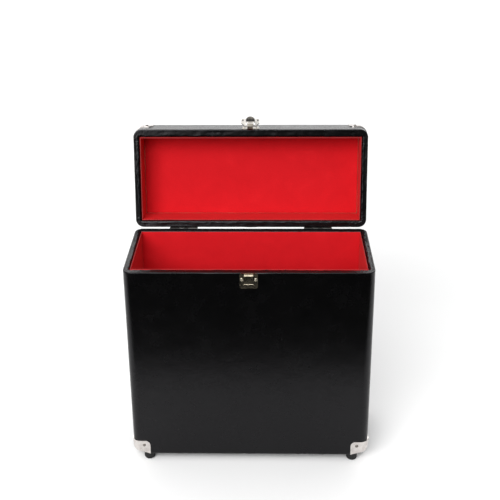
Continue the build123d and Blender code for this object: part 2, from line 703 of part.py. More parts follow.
claw_out = 6.8
with BuildPart() as latch_claw:
    with BuildSketch(Plane.YZ.offset(-claw_w / 2)):
        with BuildLine():
            # from the rolled eye, stepped out over the bill, hook turned in and up
            Line(so(p2_s + 1.5, p2_o), so(p2_s + 0.2, 5.7))
            Line(so(p2_s + 0.2, 5.7), so(8.6, claw_out))
            Line(so(8.6, claw_out), so(-14.4, claw_out))
            ThreePointArc(so(-14.4, claw_out), so(-16.3, 4.9), so(-14.4, 3.0))
            Line(so(-14.4, 3.0), so(-12.6, 3.0))
        trace(line_width=1.0)
        with Locations(so(p2_s, p2_o)):
            Circle(2.0)
            Circle(1.0 + pin_fit, mode=Mode.SUBTRACT)
    extrude(amount=claw_w)
    with BuildSketch(Plane.XZ.offset(-front_y)):
        with BuildLine():
            Polyline((-claw_w / 2, z_rim + 15), (claw_w / 2, z_rim + 15), (claw_w / 2, z_rim + 7),
                     (4.0, z_rim - 8), (4.0, z_rim - 18), (-4.0, z_rim - 18), (-4.0, z_rim - 8),
                     (-claw_w / 2, z_rim + 7), close=True)
        make_face()
    extrude(amount=20, mode=Mode.INTERSECT)
save(place_claw(latch_claw.part), "latch_claw")

# ---------------------------------------------------------------------
# carrying handle on the lid's top
# ---------------------------------------------------------------------
pz = z_lid_top + handle_pivot_h
ear_gap, ear_t, ear_r = 6.4, 1.5, 4.6
for side, sx in zip(("left", "right"), SX):
    cx = sx * handle_x
    with BuildPart() as bracket:
        with BuildSketch(Plane.XY.offset(z_lid_top)):
            with Locations((cx, 0)):
                RectangleRounded(28.0, 14.0, 5.0)
        extrude(amount=bracket_t)
        for ex in (cx - ear_gap / 2 - ear_t, cx + ear_gap / 2):
            with BuildSketch(Plane.YZ.offset(ex)):
                with BuildLine():
                    Polyline((ear_r, pz), (ear_r + 0.8, z_lid_top + 0.5), (-ear_r - 0.8, z_lid_top + 0.5), (-ear_r, pz))
                    ThreePointArc((-ear_r, pz), (0, pz + ear_r), (ear_r, pz))
                make_face()
            extrude(amount=ear_t)
        with BuildSketch(Plane.YZ.offset(cx - 15)):
            with Locations((0, pz)):
                Circle(handle_pin_r + pin_fit)
        extrude(amount=30, mode=Mode.SUBTRACT)
        add(handle_bores, mode=Mode.SUBTRACT)
    save(place_lid(bracket.part), "handle_bracket_" + side)

handle_rivets = screws(handle_seats, 2.7, 1.4, 1.6, 7.0, 0)
save(place_lid(handle_rivets), "handle_rivets")

with BuildPart() as handle_pins:
    for sx in SX:
        cx = sx * handle_x
        half = ear_gap / 2 + ear_t
        with BuildSketch(Plane.YZ.offset(cx - half)):
            with Locations((0, pz)):
                Circle(handle_pin_r)
        extrude(amount=2 * half)
        for x0 in (cx - half - 0.9, cx + half):
            with BuildSketch(Plane.YZ.offset(x0)):
                with Locations((0, pz)):
                    Circle(2.6)
            extrude(amount=0.9)
save(place_lid(handle_pins.part), "handle_pins")

# the handle lies along +Y from its pins when flat on the lid
hang = lid_rest - 90.0
core_t = 2.4


def place_handle(part):
    return place_lid(part.rotate(handle_axis, hang))


with BuildPart() as handle_core:
    # flat steel strap, its ends rolled round the pins
    with BuildSketch(Plane.XY.offset(pz - core_t / 2)):
        with BuildLine():
            bend = 12.0
            Polyline((-handle_x, 2.0), (-handle_x, handle_reach - bend), (-handle_x + bend, handle_reach),
                     (handle_x - bend, handle_reach), (handle_x, handle_reach - bend), (handle_x, 2.0))
        trace(line_width=5.6)
    extrude(amount=core_t)
    for sx in SX:
        with BuildSketch(Plane.YZ.offset(sx * handle_x - 2.8)):
            with Locations((0, pz)):
                Circle(3.9)
        extrude(amount=5.6)
        with BuildSketch(Plane.YZ.offset(sx * handle_x - 5)):
            with Locations((0, pz)):
                Circle(handle_pin_r + pin_fit)
        extrude(amount=10, mode=Mode.SUBTRACT)
save(place_handle(handle_core.part), "handle_core")

with BuildPart() as handle_grip:
    # padded sleeve over the strap: a rounded bar with its shoulders turned down
    with BuildSketch(Plane.XY.offset(pz - 7.0)):
        with BuildLine():
            hw = 9.0
            Polyline((-handle_x - 4.5, 12.0), (-handle_x - 4.5, handle_reach - 9), (-handle_x + 9, handle_reach + hw),
                     (handle_x - 9, handle_reach + hw), (handle_x + 4.5, handle_reach - 9), (handle_x + 4.5, 12.0),
                     (handle_x - 5.5, 12.0), (handle_x - 16, handle_reach - hw), (-handle_x + 16, handle_reach - hw),
                     (-handle_x + 5.5, 12.0), close=True)
        make_face()
    extrude(amount=14.0)
    long_edges = handle_grip.edges().filter_by(lambda e: abs(e.center().Z - (pz - 7)) < 0.01 or abs(e.center().Z - (pz + 7)) < 0.01)
    fillet(long_edges, 2.5)
    add(handle_core.part, mode=Mode.SUBTRACT)
save(place_handle(handle_grip.part), "handle_grip")

# ---------------------------------------------------------------------
lo = [min(getattr(b.min, a) for _, b in extents) for a in "XYZ"]
hi = [max(getattr(b.max, a) for _, b in extents) for a in "XYZ"]
print("outline low", [round(v, 3) for v in lo], "high", [round(v, 3) for v in hi])
print("middle", [round((p + q) / 2, 3) for p, q in zip(lo, hi)])
for label, ax in (("hinge", hinge_axis),):
    print(label, [round(v, 4) for v in (ax.position.X, ax.position.Y - origin_y, ax.position.Z)])


def opened_point(y, z):
    b = math.radians(-lid_rest)
    dy, dz = y - hinge_y, z - hinge_z
    return (hinge_y + dy * math.cos(b) - dz * math.sin(b) - origin_y, hinge_z + dy * math.sin(b) + dz * math.cos(b))


p1 = (front_y - p1_o, z_rim + p1_s)
print("lever pivot", [round(v, 4) for v in opened_point(*p1)])
a = math.radians(lever_swing)
dy, dz = (front_y - p2_o) - p1[0], (z_rim + p2_s) - p1[1]
p2 = (p1[0] + dy * math.cos(a) - dz * math.sin(a), p1[1] + dy * math.sin(a) + dz * math.cos(a))
print("claw pivot", [round(v, 4) for v in opened_point(*p2)])
print("handle pivot", [round(v, 4) for v in opened_point(0, z_lid_top + handle_pivot_h)])
print("nodes", len(extents))
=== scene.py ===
import bpy
import json
import math
from mathutils import Matrix, Vector, noise


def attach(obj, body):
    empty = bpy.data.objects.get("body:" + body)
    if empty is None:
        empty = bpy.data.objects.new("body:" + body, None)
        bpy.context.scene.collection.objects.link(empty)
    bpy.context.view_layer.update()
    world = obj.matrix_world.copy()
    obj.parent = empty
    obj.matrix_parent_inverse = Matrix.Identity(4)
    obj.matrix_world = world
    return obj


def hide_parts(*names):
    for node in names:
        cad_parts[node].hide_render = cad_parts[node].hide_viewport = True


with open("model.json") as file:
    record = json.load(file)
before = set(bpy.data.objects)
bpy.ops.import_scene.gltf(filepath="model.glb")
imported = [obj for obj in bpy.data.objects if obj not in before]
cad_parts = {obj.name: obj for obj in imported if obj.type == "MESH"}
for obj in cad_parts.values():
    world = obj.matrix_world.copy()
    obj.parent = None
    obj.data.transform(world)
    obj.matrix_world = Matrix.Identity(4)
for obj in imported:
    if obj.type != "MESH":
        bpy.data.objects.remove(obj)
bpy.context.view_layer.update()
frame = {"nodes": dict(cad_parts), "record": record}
NODES = frame["nodes"]

# ---------------------------------------------------------------- sizes, mm
W, D, H, LH = 350.0, 150.0, 303.5, 50.4
Z0, ZR = 12.0, 315.5
ZLR, ZLT = 315.9, 366.3
HY, HZ = 76.6, 314.7
OY = 37.082
OPEN = math.radians(-99.5)
EDGE, FOLD, REACH, RIM, RIM_IN = 12.0, 3.0, 26.0, 1.2, 1.8
SKIN, WALL, TURN = 0.8, 6.8, 18.0
LIPS = (8.7, 11.4, 9.8)          # side, front and back walls, over the turned-in leatherette
GAP, LINING, DROP = 0.7, 1.4, 0.7
PZ = ZLT + 8.0


def at_case(p):
    return Vector((p[0], p[1] - OY, p[2])) * 0.001


def at_lid(p):
    dy, dz = p[1] - HY, p[2] - HZ
    c, s = math.cos(OPEN), math.sin(OPEN)
    return Vector((p[0], HY + dy * c - dz * s - OY, HZ + dy * s + dz * c)) * 0.001


HANG = math.radians(9.5)


def at_handle(p):
    dy, dz = p[1], p[2] - PZ
    c, s = math.cos(HANG), math.sin(HANG)
    return at_lid((p[0], dy * c - dz * s, PZ + dy * s + dz * c))


def smooth(t):
    t = min(1.0, max(0.0, t))
    return t * t * (3 - 2 * t)


def nz(x, y, z, size, seed=0.0):
    return noise.noise(Vector((x / size + seed, y / size - seed * 0.7, z / size + seed * 1.3)))


def mesh_object(name, verts, faces, put, body, material, smooth_shade=True, sharp=None, second=None, flags=None):
    me = bpy.data.meshes.new(name)
    me.from_pydata([put(v) for v in verts], [], faces)
    if flags:
        me.polygons.foreach_set("material_index", flags)
    me.validate()
    import bmesh
    bm = bmesh.new()
    bm.from_mesh(me)
    bmesh.ops.remove_doubles(bm, verts=bm.verts, dist=1e-6)
    bmesh.ops.dissolve_degenerate(bm, edges=bm.edges, dist=1e-7)
    bmesh.ops.recalc_face_normals(bm, faces=bm.faces)
    bm.to_mesh(me)
    bm.free()
    if smooth_shade:
        me.polygons.foreach_set("use_smooth", [True] * len(me.polygons))
    if sharp:
        me.set_sharp_from_angle(angle=math.radians(sharp))
    ob = bpy.data.objects.new(name, me)
    bpy.context.scene.collection.objects.link(ob)
    me.materials.append(material)
    if second:
        me.materials.append(second)
    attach(ob, body)
    return ob


# ---------------------------------------------------------------- materials
def new_material(name):
    m = bpy.data.materials.new(name)
    m.use_nodes = True
    nt = m.node_tree
    bsdf = next(n for n in nt.nodes if n.type == "BSDF_PRINCIPLED")
    tc = nt.nodes.new("ShaderNodeTexCoord")
    return m, nt, bsdf, tc


def noise_tex(nt, tc, scale, detail=3.0, rough=0.5, dist=0.0, stretch=None):
    n = nt.nodes.new("ShaderNodeTexNoise")
    n.inputs["Scale"].default_value = scale
    n.inputs["Detail"].default_value = detail
    n.inputs["Roughness"].default_value = rough
    n.inputs["Distortion"].default_value = dist
    if stretch:
        mp = nt.nodes.new("ShaderNodeMapping")
        mp.inputs["Scale"].default_value = stretch
        nt.links.new(tc.outputs["Object"], mp.inputs["Vector"])
        nt.links.new(mp.outputs["Vector"], n.inputs["Vector"])
    else:
        nt.links.new(tc.outputs["Object"], n.inputs["Vector"])
    return n


def voronoi(nt, tc, scale, feature="F1", rand=1.0):
    v = nt.nodes.new("ShaderNodeTexVoronoi")
    v.feature = feature
    v.inputs["Scale"].default_value = scale
    v.inputs["Randomness"].default_value = rand
    nt.links.new(tc.outputs["Object"], v.inputs["Vector"])
    return v


def ramp(nt, src, stops):
    r = nt.nodes.new("ShaderNodeValToRGB")
    el = r.color_ramp.elements
    while len(el) < len(stops):
        el.new(0.5)
    for e, (pos, col) in zip(el, stops):
        e.position = pos
        e.color = (*col, 1.0) if len(col) == 3 else col
    nt.links.new(src, r.inputs["Fac"])
    return r.outputs["Color"]


def remap(nt, src, lo, hi, a=0.3, b=0.7):
    m = nt.nodes.new("ShaderNodeMapRange")
    m.inputs["From Min"].default_value = a
    m.inputs["From Max"].default_value = b
    m.inputs["To Min"].default_value = lo
    m.inputs["To Max"].default_value = hi
    nt.links.new(src, m.inputs["Value"])
    return m.outputs["Result"]


def bump(nt, src, dist, strength=1.0, under=None):
    b = nt.nodes.new("ShaderNodeBump")
    b.inputs["Distance"].default_value = dist
    b.inputs["Strength"].default_value = strength
    nt.links.new(src, b.inputs["Height"])
    if under is not None:
        nt.links.new(under, b.inputs["Normal"])
    return b.outputs["Normal"]


def grey(v):
    return (v, v, v)


def make_leatherette(name, dark=0.0009, light=0.0016, grain=760.0, rough=(0.22, 0.30), deep=0.00005):
    m, nt, bs, tc = new_material(name)
    wide = noise_tex(nt, tc, 22.0, 4.0, 0.55)
    col = ramp(nt, wide.outputs["Fac"], [(0.3, (dark, dark, dark * 1.06)), (0.7, (light, light, light * 1.04))])
    nt.links.new(col, bs.inputs["Base Color"])
    pebble = voronoi(nt, tc, grain, "SMOOTH_F1", 0.95)
    pebble.inputs["Smoothness"].default_value = 0.55
    crease = noise_tex(nt, tc, grain * 2.3, 3.0, 0.6)
    soft = noise_tex(nt, tc, 95.0, 3.0, 0.5)
    b1 = bump(nt, soft.outputs["Fac"], 0.0004, 0.35)
    b2 = bump(nt, crease.outputs["Fac"], deep * 0.6, 0.6, b1)
    b3 = bump(nt, pebble.outputs["Distance"], deep, 1.0, b2)
    nt.links.new(b3, bs.inputs["Normal"])
    worn = noise_tex(nt, tc, 48.0, 5.0, 0.62)
    nt.links.new(remap(nt, worn.outputs["Fac"], rough[1], rough[0]), bs.inputs["Roughness"])
    bs.inputs["Specular IOR Level"].default_value = 0.34
    bs.inputs["Specular Tint"].default_value = (0.965, 0.945, 1.0, 1.0)
    return m


def make_velour(name, base=(0.68, 0.0105, 0.0165), shade=(0.635, 0.009, 0.0145)):
    m, nt, bs, tc = new_material(name)
    nap = noise_tex(nt, tc, 26.0, 5.0, 0.6, 0.8)
    fine = noise_tex(nt, tc, 1500.0, 3.0, 0.7)
    c1 = ramp(nt, nap.outputs["Fac"], [(0.25, shade), (0.6, base), (0.85, tuple(min(1, c * 1.08 + 0.004) for c in base))])
    c2 = ramp(nt, fine.outputs["Fac"], [(0.25, grey(0.80)), (0.7, grey(1.0))])
    mx = nt.nodes.new("ShaderNodeMix")
    mx.data_type = "RGBA"
    mx.blend_type = "MULTIPLY"
    mx.inputs["Factor"].default_value = 1.0
    nt.links.new(c1, mx.inputs[6])
    nt.links.new(c2, mx.inputs[7])
    nt.links.new(mx.outputs[2], bs.inputs["Base Color"])
    pile = noise_tex(nt, tc, 900.0, 4.0, 0.75)
    b1 = bump(nt, nap.outputs["Fac"], 0.0010, 0.35)
    nt.links.new(bump(nt, pile.outputs["Fac"], 0.00035, 0.8, b1), bs.inputs["Normal"])
    nt.links.new(remap(nt, pile.outputs["Fac"], 0.86, 0.98), bs.inputs["Roughness"])
    bs.inputs["Specular IOR Level"].default_value = 0.12
    bs.inputs["Sheen Weight"].default_value = 0.08
    bs.inputs["Sheen Roughness"].default_value = 0.45
    bs.inputs["Sheen Tint"].default_value = (1.0, 0.20, 0.18, 1.0)
    return m


def make_metal(name, base, tarnish, rough, scratch=0.00002, brushed=None, spots=0.72):
    m, nt, bs, tc = new_material(name)
    bs.inputs["Metallic"].default_value = 1.0
    cloud = noise_tex(nt, tc, 130.0, 6.0, 0.6)
    colour = ramp(nt, cloud.outputs["Fac"], [(0.35, base), (spots, tuple(0.5 * (a + b) for a, b in zip(base, tarnish))), (0.92, tarnish)])
    nt.links.new(colour, bs.inputs["Base Color"])
    fine = noise_tex(nt, tc, 700.0, 4.0, 0.6, 0.0, brushed)
    nt.links.new(remap(nt, cloud.outputs["Fac"], rough[0], rough[1]), bs.inputs["Roughness"])
    nt.links.new(bump(nt, fine.outputs["Fac"], scratch, 0.6), bs.inputs["Normal"])
    return m


def paint_light_band(m, kx, ky, kz, lo, hi, shades, half=None):
    """A band of painted light (painted shade or painted highlight, by the colours given) over the finish where kx*|x|
    + ky*y + kz*z runs past lo to hi, within half of the middle.
    """
    nt = m.node_tree
    bs = next(n for n in nt.nodes if n.type == "BSDF_PRINCIPLED")
    tc = next(n for n in nt.nodes if n.type == "TEX_COORD")
    under = bs.inputs["Base Color"].links[0].from_socket

    def sum_of(op, a, b):
        k = nt.nodes.new("ShaderNodeMath")
        k.operation = op
        for place, v in ((0, a), (1, b)):
            if isinstance(v, float):
                k.inputs[place].default_value = v
            elif v is not None:
                nt.links.new(v, k.inputs[place])
        return k.outputs[0]

    sep = nt.nodes.new("ShaderNodeSeparateXYZ")
    nt.links.new(tc.outputs["Object"], sep.inputs["Vector"])
    side = sum_of("ABSOLUTE", sep.outputs["X"], None)
    level = sum_of("ADD", sum_of("MULTIPLY", side, float(kx)), sum_of("MULTIPLY", sep.outputs["Z"], float(kz)))
    level = sum_of("ADD", level, sum_of("MULTIPLY", sep.outputs["Y"], float(ky)))
    amount = remap(nt, level, 0.0, 1.0, lo, hi)
    if half:
        amount = sum_of("MULTIPLY", amount, remap(nt, side, 1.0, 0.0, half, half + 0.0004))
    cloud = noise_tex(nt, tc, 260.0, 4.0, 0.6)
    mx = nt.nodes.new("ShaderNodeMix")
    mx.data_type = "RGBA"
    nt.links.new(amount, mx.inputs["Factor"])
    nt.links.new(under, mx.inputs[6])
    nt.links.new(ramp(nt, cloud.outputs["Fac"], [(0.35, shades[0]), (0.7, shades[1])]), mx.inputs[7])
    nt.links.new(mx.outputs[2], bs.inputs["Base Color"])


def make_rubber(name):
    m, nt, bs, tc = new_material(name)
    n = noise_tex(nt, tc, 240.0, 4.0, 0.6)
    nt.links.new(ramp(nt, n.outputs["Fac"], [(0.3, grey(0.004)), (0.75, grey(0.009))]), bs.inputs["Base Color"])
    f = noise_tex(nt, tc, 1800.0, 3.0, 0.6)
    nt.links.new(bump(nt, f.outputs["Fac"], 0.0001, 0.7), bs.inputs["Normal"])
    nt.links.new(remap(nt, n.outputs["Fac"], 0.62, 0.82), bs.inputs["Roughness"])
    bs.inputs["Specular IOR Level"].default_value = 0.4
    return m


def make_board(name):
    m, nt, bs, tc = new_material(name)
    n = noise_tex(nt, tc, 420.0, 6.0, 0.7, 0.4)
    g = noise_tex(nt, tc, 35.0, 3.0, 0.5)
    mx = nt.nodes.new("ShaderNodeMix")
    mx.data_type = "RGBA"
    mx.blend_type = "MULTIPLY"
    mx.inputs["Factor"].default_value = 0.6
    nt.links.new(ramp(nt, n.outputs["Fac"], [(0.3, (0.36, 0.25, 0.15)), (0.7, (0.60, 0.46, 0.30))]), mx.inputs[6])
    nt.links.new(ramp(nt, g.outputs["Fac"], [(0.3, grey(0.8)), (0.7, grey(1.0))]), mx.inputs[7])
    nt.links.new(mx.outputs[2], bs.inputs["Base Color"])
    nt.links.new(bump(nt, n.outputs["Fac"], 0.0003, 0.6), bs.inputs["Normal"])
    nt.links.new(remap(nt, n.outputs["Fac"], 0.75, 0.92), bs.inputs["Roughness"])
    return m


def make_thread(name):
    m, nt, bs, tc = new_material(name)
    n = noise_tex(nt, tc, 2600.0, 3.0, 0.6)
    nt.links.new(ramp(nt, n.outputs["Fac"], [(0.3, grey(0.03)), (0.7, grey(0.075))]), bs.inputs["Base Color"])
    nt.links.new(bump(nt, n.outputs["Fac"], 0.0001, 0.7), bs.inputs["Normal"])
    nt.links.new(remap(nt, n.outputs["Fac"], 0.6, 0.8), bs.inputs["Roughness"])
    return m


leatherette = make_leatherette("leatherette")
grip_leather = make_leatherette("grip_leather", 0.0035, 0.006, 900.0, (0.34, 0.46), 0.00012)
velour = make_velour("velour")
nickel = make_metal("nickel", (0.74, 0.71, 0.67), (0.46, 0.42, 0.36), (0.14, 0.28))
aged_nickel = make_metal("aged_nickel", (0.38, 0.34, 0.26), (0.20, 0.17, 0.12), (0.20, 0.38), 0.00004, spots=0.6)
# painted shade: the hinges' lid leaves and pins are nickel given a near-black colour for the dark they reflect
dark_shaded_nickel = make_metal("dark_shaded_nickel", (0.035, 0.034, 0.033), (0.018, 0.017, 0.016), (0.34, 0.50), 0.00003, spots=0.6)
satin_nickel = make_metal("satin_nickel", (0.88, 0.86, 0.82), (0.66, 0.62, 0.55), (0.30, 0.44), 0.00003)
# painted shade on the lever: a dark band across its middle under the tab, the tab's top painted mid grey, and dark
# lines painted along the wings' cut lower edges
paint_light_band(satin_nickel, 0.0, 0.0, 1.0, 0.4762, 0.4767, ((0.06, 0.057, 0.052), (0.02, 0.019, 0.017)), half=0.0061)
paint_light_band(satin_nickel, 0.0, 0.0, 1.0, 0.4786, 0.4796, ((0.21, 0.20, 0.185), (0.10, 0.095, 0.085)), half=0.0061)
paint_light_band(satin_nickel, 0.675, 0.0, -0.738, -0.34079, -0.34029, ((0.16, 0.15, 0.135), (0.07, 0.065, 0.06)))
claw_steel = make_metal("claw_steel", (0.36, 0.33, 0.28), (0.09, 0.075, 0.058), (0.34, 0.50), 0.00004, spots=0.54)
# painted light on the claw: a pale painted highlight across its top, painted shade over the knuckle under the lever's
# tab, and painted shade on its lower part
paint_light_band(claw_steel, 0.0, 1.0, 0.0, 0.0575, 0.0587, ((0.93, 0.91, 0.87), (0.80, 0.77, 0.72)))
paint_light_band(claw_steel, 0.0, 1.0, 0.0, 0.0648, 0.0656, ((0.09, 0.085, 0.078), (0.03, 0.028, 0.026)))
paint_light_band(claw_steel, 0.0, -1.0, 0.0, -0.0500, -0.0475, ((0.08, 0.062, 0.046), (0.02, 0.017, 0.014)))
black_steel = make_metal("black_steel", (0.05, 0.048, 0.045), (0.02, 0.019, 0.018), (0.30, 0.46), 0.00003, spots=0.6)
latch_nickel = make_metal("latch_nickel", (0.50, 0.47, 0.42), (0.26, 0.23, 0.19), (0.24, 0.40), 0.00003, spots=0.62)
corner_nickel = make_metal("corner_nickel", (0.70, 0.665, 0.64), (0.44, 0.40, 0.38), (0.16, 0.32), 0.00003, spots=0.62)
cover_hide = make_leatherette("cover_hide")
cover_hide.node_tree.nodes["Principled BSDF"].inputs["Specular IOR Level"].default_value = 0.25
aged_screw = make_metal("aged_screw", (0.50, 0.47, 0.40), (0.28, 0.25, 0.19), (0.22, 0.38), 0.00003)
# painted shade: the hinges' case leaves are the same nickel given a dark grey colour, lighter than the lid leaves for
# how they face the light
grey_shaded_nickel = make_metal("grey_shaded_nickel", (0.085, 0.082, 0.078), (0.04, 0.038, 0.035), (0.32, 0.48), 0.00003, spots=0.6)
nail_steel = make_metal("nail_steel", (0.22, 0.20, 0.18), (0.10, 0.09, 0.08), (0.15, 0.30), 0.00002, spots=0.6)
steel = make_metal("steel", (0.60, 0.59, 0.57), (0.36, 0.34, 0.31), (0.28, 0.42), 0.00004, (1.0, 1.0, 8.0))
rubber = make_rubber("rubber")
board = make_board("board")
thread = make_thread("thread")
cut_edge = make_velour("lining_cut_edge", (0.34, 0.050, 0.050), (0.22, 0.034, 0.034))

BY_SLOT = {"leatherette": leatherette, "grip": grip_leather, "velour": velour, "nickel": nickel,
           "steel": steel, "rubber": rubber, "board": board}
for sub in frame["record"]["subparts"]:
    o = NODES[sub["node"]]
    o.data.materials.clear()
    o.data.materials.append(BY_SLOT[sub["material_slot"]])
for node_name, metal in (("strike_plate", aged_nickel), ("case_corner_nails", nail_steel), ("lid_corner_nails", nail_steel),
                         # painted shade on the hinges' case leaves
                         ("hinge_left_case_leaf", grey_shaded_nickel), ("hinge_right_case_leaf", grey_shaded_nickel),
                         ("strike_screws", aged_screw), ("latch_lever", satin_nickel), ("latch_claw", claw_steel),
                         ("latch_base", latch_nickel), 
                         *((f"{part}_corner_{place}", corner_nickel) for part in ("case", "lid")
                           for place in ("front_left", "front_right", "back_left", "back_right")),
                         # painted shade on the hinges' lid leaves and pins
                         ("hinge_left_lid_leaf", dark_shaded_nickel), ("hinge_right_lid_leaf", dark_shaded_nickel),
                         ("hinge_left_pin", dark_shaded_nickel), ("hinge_right_pin", dark_shaded_nickel)):
    NODES[node_name].data.materials.clear()
    NODES[node_name].data.materials.append(metal)


# ---------------------------------------------------------------- leatherette skins
def side_steps(length):
    """Stations along one straight run, closer together near the corners."""
    near = [k * 1.0 for k in range(0, 15)]
    far_n = int(round((length - 28) / 2.4))
    mid = [14 + (length - 28) * k / far_n for k in range(1, far_n)]
    return near + mid + [length - v for v in reversed(near)]


def stations():
    """(kind, u) round the outline, counter-clockwise from the front-left corner's end."""
    out = []
    sides = ((0, W - 2 * EDGE), (1, D - 2 * EDGE), (2, W - 2 * EDGE), (3, D - 2 * EDGE))
    for k, length in sides:
        for v in side_steps(length):
            out.append(("side", k, v / length, min(v, length - v)))
        for a in range(1, 12):
            out.append(("corner", k, a / 12.0, 0.0))
    return out


ST = stations()


def outline(st, off, r):
    """Point and outward normal of the outline pulled in by off, with corner radius r."""
    kind, k, u, _ = st
    os_, of_, ob_ = off if isinstance(off, tuple) else (off, off, off)
    hw, mid = W / 2 - os_, (of_ - ob_) / 2
    hd = (D - of_ - ob_) / 2
    cs = [(-1, -1), (1, -1), (1, 1), (-1, 1)]
    a0 = -90 + 90 * k
    if kind == "side":
        c0, c1 = cs[k], cs[(k + 1) % 4]
        n = (math.cos(math.radians(a0)), math.sin(math.radians(a0)))
        p0 = (c0[0] * (hw - r) + n[0] * r, mid + c0[1] * (hd - r) + n[1] * r)
        p1 = (c1[0] * (hw - r) + n[0] * r, mid + c1[1] * (hd - r) + n[1] * r)
        return (p0[0] + (p1[0] - p0[0]) * u, p0[1] + (p1[1] - p0[1]) * u), n
    c1 = cs[(k + 1) % 4]
    a = math.radians(a0 + 90 * u)
    n = (math.cos(a), math.sin(a))
    return (c1[0] * (hw - r) + n[0] * r, mid + c1[1] * (hd - r) + n[1] * r), n


def fold_radius(st):
    """Rounding of the closed end: a ball at the corners, a crisp fold between them."""
    if st[0] == "corner":
        return EDGE
    return EDGE + (FOLD - EDGE) * min(1.0, st[3] / (REACH - EDGE))


def shell_rows(z_end, up, depth):
    """Rows of points: down the middle of the closed end, out, up the wall, over the rim,
    down inside, then back on the hidden side."""
    z_rim = z_end + up * depth
    rows = []

    def centre_point(p):
        m = W / 2 - D / 2
        return (max(-m, min(m, p[0])), 0.0)

    def end_row(k, g):
        r = []
        for st in ST:
            rf = fold_radius(st)
            p, n = outline(st, 0.0, EDGE)
            q = (p[0] - n[0] * rf, p[1] - n[1] * rf)
            c = centre_point(q)
            r.append((q[0] + (c[0] - q[0]) * k, q[1] + (c[1] - q[1]) * k, z_end - up * g, 0, 0, -up, 0, 0, st))
        return r

    def fold_row(th, g):
        r = []
        for st in ST:
            rf = fold_radius(st)
            p, n = outline(st, 0.0, EDGE)
            rr = rf + g
            q = (p[0] - n[0] * (rf - rr * math.sin(th)), p[1] - n[1] * (rf - rr * math.sin(th)))
            z = z_end + up * (rf - rr * math.cos(th))
            r.append((q[0], q[1], z, n[0] * math.sin(th), n[1] * math.sin(th), -up * math.cos(th), 1, 0, st))
        return r

    def wall_row(t, g, top):
        r = []
        for st in ST:
            rf = fold_radius(st)
            p, n = outline(st, -g, EDGE + g)
            z = z_end + up * (rf + (top - rf) * t)
            r.append((p[0], p[1], z, n[0], n[1], 0, 2, 0, st))
        return r

    def rim_row(pull, down, nh, nv, kind):
        """pull(lip) is how far the row lies inside the outline on a wall with that lip."""
        r = []
        off = tuple(pull(lip) for lip in LIPS)
        mean = pull(LIPS[0])
        rad = EDGE - mean if mean < 2.5 else (EDGE - 2.5) + (1.2 - (EDGE - 2.5)) * smooth((mean - 2.5) / (LIPS[0] - 2.5))
        for st in ST:
            p, n = outline(st, off, rad)
            r.append((p[0], p[1], z_rim - up * down, n[0] * nh, n[1] * nh, up * nv, kind, mean, st))
        return r

    for k in (1.0, 0.85, 0.6, 0.35, 0.15, 0.05):
        rows.append(end_row(k, 0.0))
    for a in (0, 15, 30, 45, 60, 75):
        rows.append(fold_row(math.radians(a), 0.0))
    top = depth - RIM
    n_wall = int((depth - 24) / 4.0)
    for i in range(n_wall + 1):
        rows.append(wall_row(i / n_wall * (1 - 20.0 / top), 0.0, top))
    for i in range(1, 11):
        rows.append(wall_row(1 - 20.0 / top + 20.0 / top * i / 10, 0.0, top))
    for a in (18, 36, 54, 72, 90):
        t = math.radians(a)
        rows.append(rim_row(lambda lip: RIM * (1 - math.cos(t)), RIM * (1 - math.sin(t)), math.cos(t), math.sin(t), 3))
    for u in (0.14, 0.28, 0.42, 0.56, 0.70, 0.84):
        rows.append(rim_row(lambda lip: RIM + (lip - RIM_IN - RIM) * u, 0.0, 0, 1, 4))
    for a in (0, 18, 36, 54, 72, 90):
        t = math.radians(a)
        rows.append(rim_row(lambda lip: lip - RIM_IN + RIM_IN * math.sin(t), RIM_IN * (1 - math.cos(t)), -math.sin(t), math.cos(t), 5))
    for dn in (3.5, 5, 7, 10, 14, TURN):
        rows.append(rim_row(lambda lip: lip, dn, -1, 0, 6))
    # hidden side, against the boards
    for dn in (TURN, 8.0, 2.8):
        rows.append(rim_row(lambda lip: lip - SKIN, dn, 0, 0, 9))
    rows.append(rim_row(lambda lip: lip - SKIN - 0.5, 1.6, 0, 0, 9))
    rows.append(rim_row(lambda lip: lip - SKIN - 1.6, SKIN + 0.2, 0, 0, 9))
    rows.append(rim_row(lambda lip: SKIN + 1.4, SKIN + 0.2, 0, 0, 9))
    rows.append(rim_row(lambda lip: SKIN + 0.2, 1.4, 0, 0, 9))
    for i in (1.0, 0.75, 0.5, 0.25, 0.0):
        rows.append([(*q[:6], 9, 0, q[8]) for q in wall_row(i, -SKIN, top)])
    for a in (60, 30, 0):
        rows.append([(*q[:6], 9, 0, q[8]) for q in fold_row(math.radians(a), -SKIN)])
    for k in (0.3, 1.0):
        rows.append([(*q[:6], 9, 0, q[8]) for q in end_row(k, -SKIN)])
    return rows


# how far from a corner each pleat lies, and how high it stands, by side and end
PLEATS = {(0, False): ((4.0, 0.30), (7.0, -0.22)), (0, True): ((5.0, 0.26), (8.0, -0.20)),
          (1, False): ((6.0, 0.34), (3.0, -0.25)), (1, True): ((5.0, 0.30), (2.0, -0.20)),
          (2, False): ((4.0, 0.26), (6.0, -0.22)), (2, True): ((5.0, 0.26), (7.0, -0.20)),
          (3, False): ((6.0, 0.42), (3.0, -0.30), (1.0, 0.34)), (3, True): ((6.0, 0.44), (8.0, -0.30), (3.0, 0.20))}


